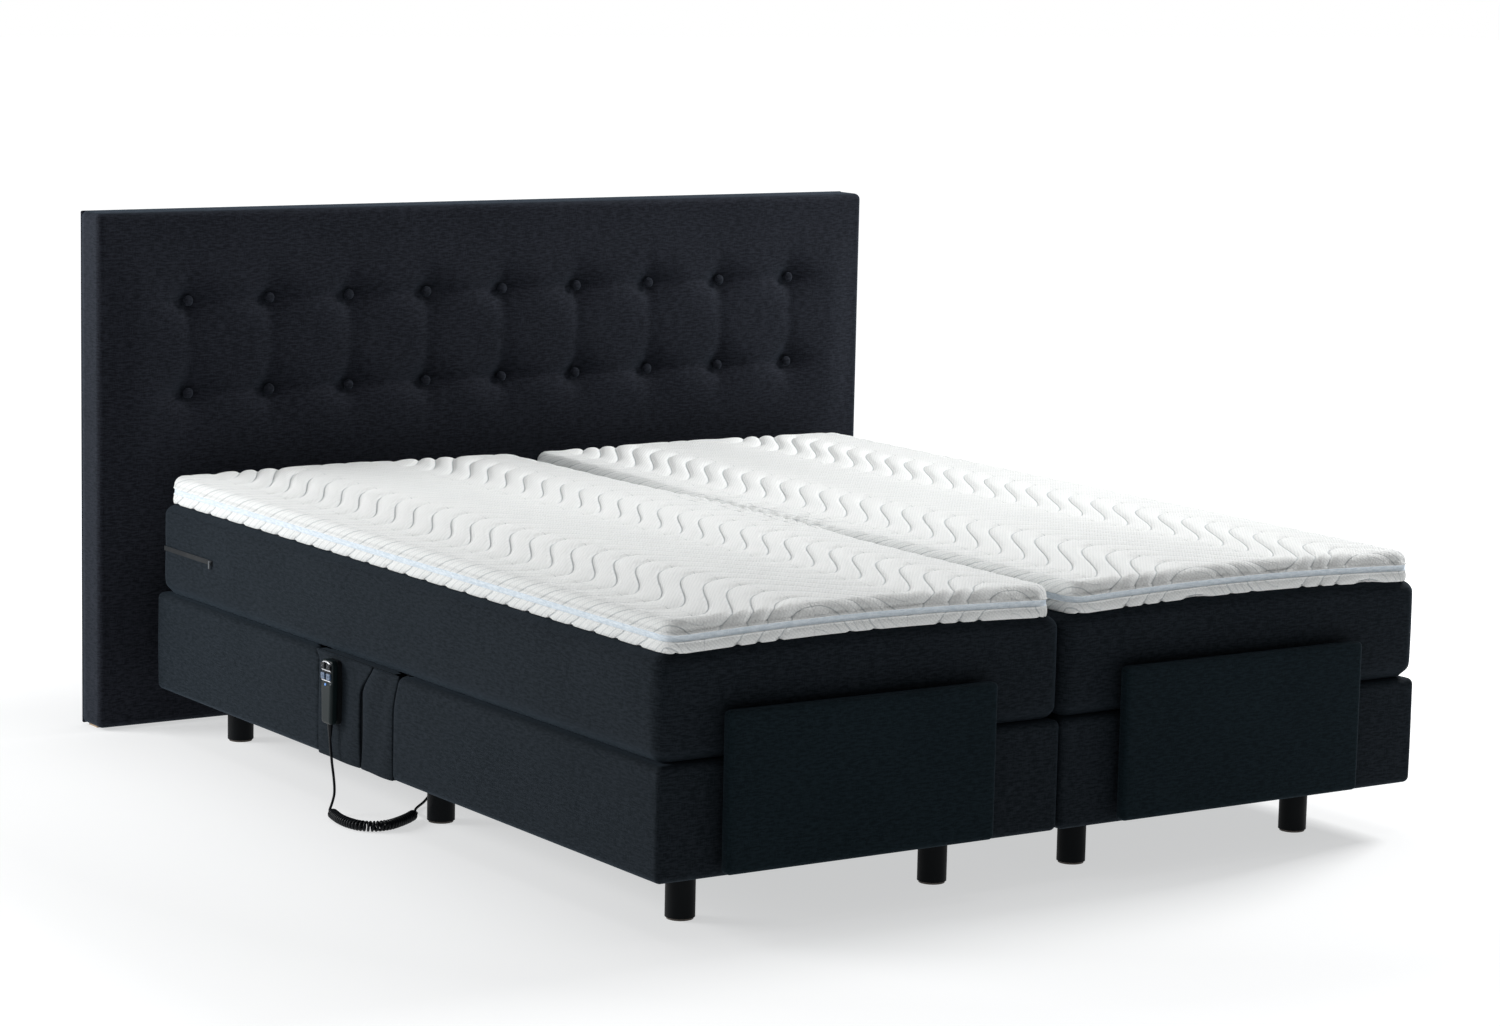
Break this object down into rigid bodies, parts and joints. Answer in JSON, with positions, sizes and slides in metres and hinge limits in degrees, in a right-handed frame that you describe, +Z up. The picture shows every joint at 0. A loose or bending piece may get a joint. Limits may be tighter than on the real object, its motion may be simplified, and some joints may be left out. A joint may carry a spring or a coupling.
{
  "type": "adjustable bed",
  "caption": "Double electric box bed: two bases with tilting head and foot sections on legs, buttoned headboard, mattresses, split topper and a corded handset.",
  "frame": {"origin": "on the floor, in the middle of the bed's footprint, headboard and mattress retainers included", "axes": "+Y towards the headboard, +Z up, +X to the right as seen from the foot end"},
  "size_m": [2.008, 2.24, 1.134],
  "materials": {
    "base_fabric": "woven upholstery, matte",
    "pleat_fabric": "woven upholstery, pleated",
    "headboard_fabric": "woven upholstery, buttoned",
    "mattress_fabric": "woven cover, matte",
    "topper_knit": "quilted stretch knit",
    "retainer_fabric": "smooth woven fabric",
    "board": "raw board",
    "frame_steel": "satin powder coat",
    "leg_plastic": "fine grain",
    "felt": "soft glide",
    "bright_steel": "zinc plated",
    "drive_plastic": "moulded, fine grain",
    "nylon": "natural nylon",
    "handset_case": "fine grain",
    "handset_face": "gloss",
    "key_dark": "soft key",
    "key_blue": "back-lit key",
    "cord_pvc": "smooth PVC",
    "zip": "zip tape"
  },
  "bodies": {
    "root": {"side_rails": "frame_steel", "cross_rails": "frame_steel", "legs": "leg_plastic", "leg_glides": "felt", "hinge_cheeks": "frame_steel", "hinge_pins": "bright_steel", "seat_boxes": "board", "seat_pleats": "pleat_fabric", "drive_housings": "drive_plastic", "drive_covers": "drive_plastic", "drive_motors": "bright_steel", "headboard_board": "board", "headboard_padding": "headboard_fabric", "headboard_back_cover": "headboard_fabric", "headboard_buttons": "headboard_fabric", "headboard_brackets": "frame_steel", "headboard_bolts": "bright_steel", "left_mattress_seat": "mattress_fabric", "right_mattress_seat": "mattress_fabric", "mattress_bends": "mattress_fabric", "topper_centre": "topper_knit", "topper_bends": "topper_knit", "handset_back": "handset_case", "handset_front": "handset_face", "strain_relief": "cord_pvc", "handset_lead": "cord_pvc", "handset_coil": "cord_pvc", "bed_lead": "cord_pvc"},
    "left_head": {"left_head_box": "base_fabric", "left_head_rails": "frame_steel", "left_mattress_head": "mattress_fabric", "left_topper_head": "topper_knit", "zip_tape": "zip"},
    "left_foot": {"left_foot_box": "base_fabric", "left_foot_rails": "frame_steel", "left_mattress_foot": "mattress_fabric", "left_topper_foot": "topper_knit", "left_retainer": "retainer_fabric"},
    "left_head_lift": {"left_head_tube": "frame_steel"},
    "left_head_push": {"left_head_slider": "nylon"},
    "left_foot_lift": {"left_foot_tube": "frame_steel"},
    "left_foot_push": {"left_foot_slider": "nylon"},
    "right_head": {"right_head_box": "base_fabric", "right_head_rails": "frame_steel", "right_mattress_head": "mattress_fabric", "right_topper_head": "topper_knit"},
    "right_foot": {"right_foot_box": "base_fabric", "right_foot_rails": "frame_steel", "right_mattress_foot": "mattress_fabric", "right_topper_foot": "topper_knit", "right_retainer": "retainer_fabric"},
    "right_head_lift": {"right_head_tube": "frame_steel"},
    "right_head_push": {"right_head_slider": "nylon"},
    "right_foot_lift": {"right_foot_tube": "frame_steel"},
    "right_foot_push": {"right_foot_slider": "nylon"},
    "zip_pull": {"zip_slider": "zip"},
    "key_head_up_body": {"key_head_up": "key_dark"},
    "key_foot_up_body": {"key_foot_up": "key_dark"},
    "key_head_down_body": {"key_head_down": "key_blue"},
    "key_foot_down_body": {"key_foot_down": "key_blue"}
  },
  "joints": [
    {"name": "left_head_tilt", "type": "hinge", "parent": "root", "child": "left_head", "pos_m": [-0.45, 0.207, 0.296], "axis": [1, 0, 0], "range_deg": [0, 45], "deforming": ["mattress_bends", "topper_bends"]},
    {"name": "left_foot_tilt", "type": "hinge", "parent": "root", "child": "left_foot", "pos_m": [-0.45, -0.11, 0.296], "axis": [-1, 0, 0], "range_deg": [0, 30], "deforming": ["mattress_bends", "topper_bends"]},
    {"name": "left_head_lift_turn", "type": "hinge", "parent": "root", "child": "left_head_lift", "pos_m": [-0.45, 0.317, 0.2375], "axis": [1, 0, 0], "range_deg": [0, 56.3]},
    {"name": "left_head_push_slide", "type": "slide", "parent": "root", "child": "left_head_push", "axis": [0, 1, 0], "range_m": [0, 0.0662]},
    {"name": "left_foot_lift_turn", "type": "hinge", "parent": "root", "child": "left_foot_lift", "pos_m": [-0.45, -0.22, 0.2375], "axis": [-1, 0, 0], "range_deg": [0, 40.85]},
    {"name": "left_foot_push_slide", "type": "slide", "parent": "root", "child": "left_foot_push", "axis": [0, -1, 0], "range_m": [0, 0.049]},
    {"name": "right_head_tilt", "type": "hinge", "parent": "root", "child": "right_head", "pos_m": [0.45, 0.207, 0.296], "axis": [1, 0, 0], "range_deg": [0, 45], "deforming": ["mattress_bends", "topper_bends"]},
    {"name": "right_foot_tilt", "type": "hinge", "parent": "root", "child": "right_foot", "pos_m": [0.45, -0.11, 0.296], "axis": [-1, 0, 0], "range_deg": [0, 30], "deforming": ["mattress_bends", "topper_bends"]},
    {"name": "right_head_lift_turn", "type": "hinge", "parent": "root", "child": "right_head_lift", "pos_m": [0.45, 0.317, 0.2375], "axis": [1, 0, 0], "range_deg": [0, 56.3]},
    {"name": "right_head_push_slide", "type": "slide", "parent": "root", "child": "right_head_push", "axis": [0, 1, 0], "range_m": [0, 0.0662]},
    {"name": "right_foot_lift_turn", "type": "hinge", "parent": "root", "child": "right_foot_lift", "pos_m": [0.45, -0.22, 0.2375], "axis": [-1, 0, 0], "range_deg": [0, 40.85]},
    {"name": "right_foot_push_slide", "type": "slide", "parent": "root", "child": "right_foot_push", "axis": [0, -1, 0], "range_m": [0, 0.049]},
    {"name": "zip_pull_slide", "type": "slide", "parent": "left_head", "child": "zip_pull", "axis": [0, 1, 0], "range_m": [0, 0.215]},
    {"name": "key_head_up_press", "type": "slide", "parent": "root", "child": "key_head_up_body", "axis": [1, 0, 0], "range_m": [0, 0.0012], "stiffness_N_per_m": 600, "springref_m": -0.001},
    {"name": "key_foot_up_press", "type": "slide", "parent": "root", "child": "key_foot_up_body", "axis": [1, 0, 0], "range_m": [0, 0.0012], "stiffness_N_per_m": 600, "springref_m": -0.001},
    {"name": "key_head_down_press", "type": "slide", "parent": "root", "child": "key_head_down_body", "axis": [1, 0, 0], "range_m": [0, 0.0012], "stiffness_N_per_m": 600, "springref_m": -0.001},
    {"name": "key_foot_down_press", "type": "slide", "parent": "root", "child": "key_foot_down_body", "axis": [1, 0, 0], "range_m": [0, 0.0012], "stiffness_N_per_m": 600, "springref_m": -0.001}
  ],
  "couplings": [
    {"joint": "left_head_lift_turn", "follows": "left_head_tilt", "ratio": 1.25},
    {"joint": "left_head_push_slide", "follows": "left_head_tilt", "m_per_rad": 0.08403},
    {"joint": "left_foot_lift_turn", "follows": "left_foot_tilt", "ratio": 1.36},
    {"joint": "left_foot_push_slide", "follows": "left_foot_tilt", "m_per_rad": 0.0932},
    {"joint": "right_head_lift_turn", "follows": "right_head_tilt", "ratio": 1.25},
    {"joint": "right_head_push_slide", "follows": "right_head_tilt", "m_per_rad": 0.08403},
    {"joint": "right_foot_lift_turn", "follows": "right_foot_tilt", "ratio": 1.36},
    {"joint": "right_foot_push_slide", "follows": "right_foot_tilt", "m_per_rad": 0.0932}
  ]
}
